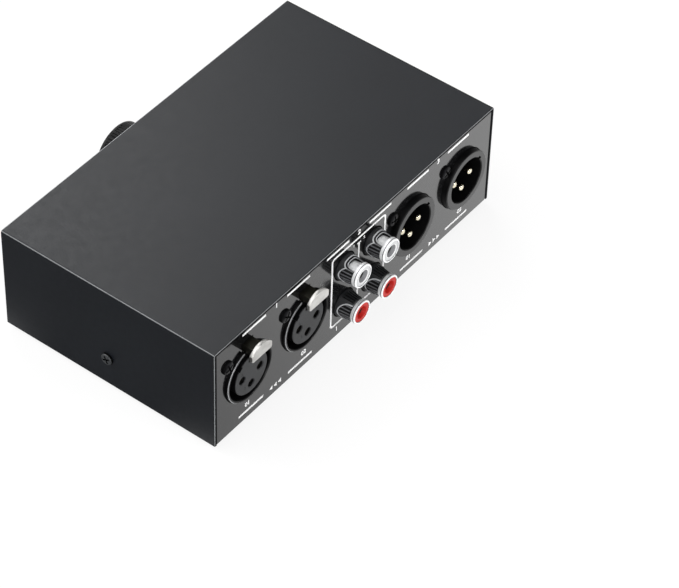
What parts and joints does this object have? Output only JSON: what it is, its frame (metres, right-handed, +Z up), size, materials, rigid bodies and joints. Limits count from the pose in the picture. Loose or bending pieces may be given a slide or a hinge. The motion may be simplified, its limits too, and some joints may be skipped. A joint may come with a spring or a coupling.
{
  "type": "balanced audio selector",
  "caption": "Desktop selector box: folded steel case, ribbed volume knob and push buttons in front, latching balanced inputs, pin outputs and phono jacks behind.",
  "frame": {"origin": "middle of the outline on the surface the feet stand on", "axes": "+X along the case's width, +Y out of the rear panel with the sockets, +Z up"},
  "size_m": [0.142, 0.105, 0.0415],
  "materials": {
    "cover_paint": "satin dark grey powder coat",
    "panel_paint": "glossy dark grey paint",
    "black_steel": "black zinc-plated steel",
    "rubber": "matt black rubber",
    "board_green": "glass-fibre board with green mask",
    "steel": "bright zinc-plated steel",
    "black_plastic": "moulded black plastic",
    "grey_plastic": "moulded charcoal plastic",
    "silver_contact": "silver-plated brass",
    "latch_nickel": "satin nickel-plated steel",
    "phono_nickel": "nickel-plated brass",
    "white_plastic": "moulded white plastic",
    "red_plastic": "moulded red plastic",
    "knob_plastic": "moulded black plastic, finely ribbed",
    "shaft_metal": "turned aluminium",
    "brown_plastic": "moulded phenolic"
  },
  "bodies": {
    "case": {"board_screws": "steel", "board_standoffs": "steel", "bottom_tray": "panel_paint", "cover_screws": "black_steel", "front_panel": "panel_paint", "input_socket_1_contacts": "silver_contact", "input_socket_1_housing": "black_plastic", "input_socket_1_insert": "grey_plastic", "input_socket_1_latch_spring": "steel", "input_socket_2_contacts": "silver_contact", "input_socket_2_housing": "black_plastic", "input_socket_2_insert": "grey_plastic", "input_socket_2_latch_spring": "steel", "input_switch_body": "black_plastic", "input_switch_spring": "steel", "main_board": "board_green", "output_socket_1_housing": "black_plastic", "output_socket_1_pins": "silver_contact", "output_socket_2_housing": "black_plastic", "output_socket_2_pins": "silver_contact", "output_switch_body": "black_plastic", "output_switch_spring": "steel", "phono_block": "black_plastic", "phono_contacts": "silver_contact", "phono_insulators_red": "red_plastic", "phono_insulators_white": "white_plastic", "phono_shells": "phono_nickel", "pot_front_plate": "steel", "pot_nut": "steel", "pot_rivets": "steel", "pot_terminals": "steel", "pot_wafers": "brown_plastic", "pot_washer": "steel", "rear_panel": "panel_paint", "rubber_feet": "rubber", "socket_screws": "black_steel", "switch_terminals": "steel", "top_cover": "cover_paint"},
    "volume": {"volume_knob": "knob_plastic", "pot_shaft": "shaft_metal", "pot_wipers": "brown_plastic"},
    "input_button": {"input_button": "black_plastic", "input_switch_plunger": "black_plastic"},
    "output_button": {"output_button": "black_plastic", "output_switch_plunger": "black_plastic"},
    "latch_1": {"input_socket_1_latch": "latch_nickel"},
    "latch_2": {"input_socket_2_latch": "latch_nickel"}
  },
  "joints": [
    {"name": "volume_turn", "type": "hinge", "parent": "case", "child": "volume", "pos_m": [0, -0.03785, 0.0162], "axis": [0, -1, 0], "range_deg": [-150, 150]},
    {"name": "input_button_press", "type": "slide", "parent": "case", "child": "input_button", "axis": [0, 1, 0], "range_m": [0, 0.002], "stiffness_N_per_m": 500, "springref_m": -0.001, "deforming": ["input_switch_spring"]},
    {"name": "output_button_press", "type": "slide", "parent": "case", "child": "output_button", "axis": [0, 1, 0], "range_m": [0, 0.002], "stiffness_N_per_m": 500, "springref_m": -0.001, "deforming": ["output_switch_spring"]},
    {"name": "latch_1_press", "type": "slide", "parent": "case", "child": "latch_1", "axis": [0, -1, 0], "range_m": [0, 0.0018], "stiffness_N_per_m": 600, "springref_m": -0.001, "deforming": ["input_socket_1_latch_spring"]},
    {"name": "latch_2_press", "type": "slide", "parent": "case", "child": "latch_2", "axis": [0, -1, 0], "range_m": [0, 0.0018], "stiffness_N_per_m": 600, "springref_m": -0.001, "deforming": ["input_socket_2_latch_spring"]}
  ]
}
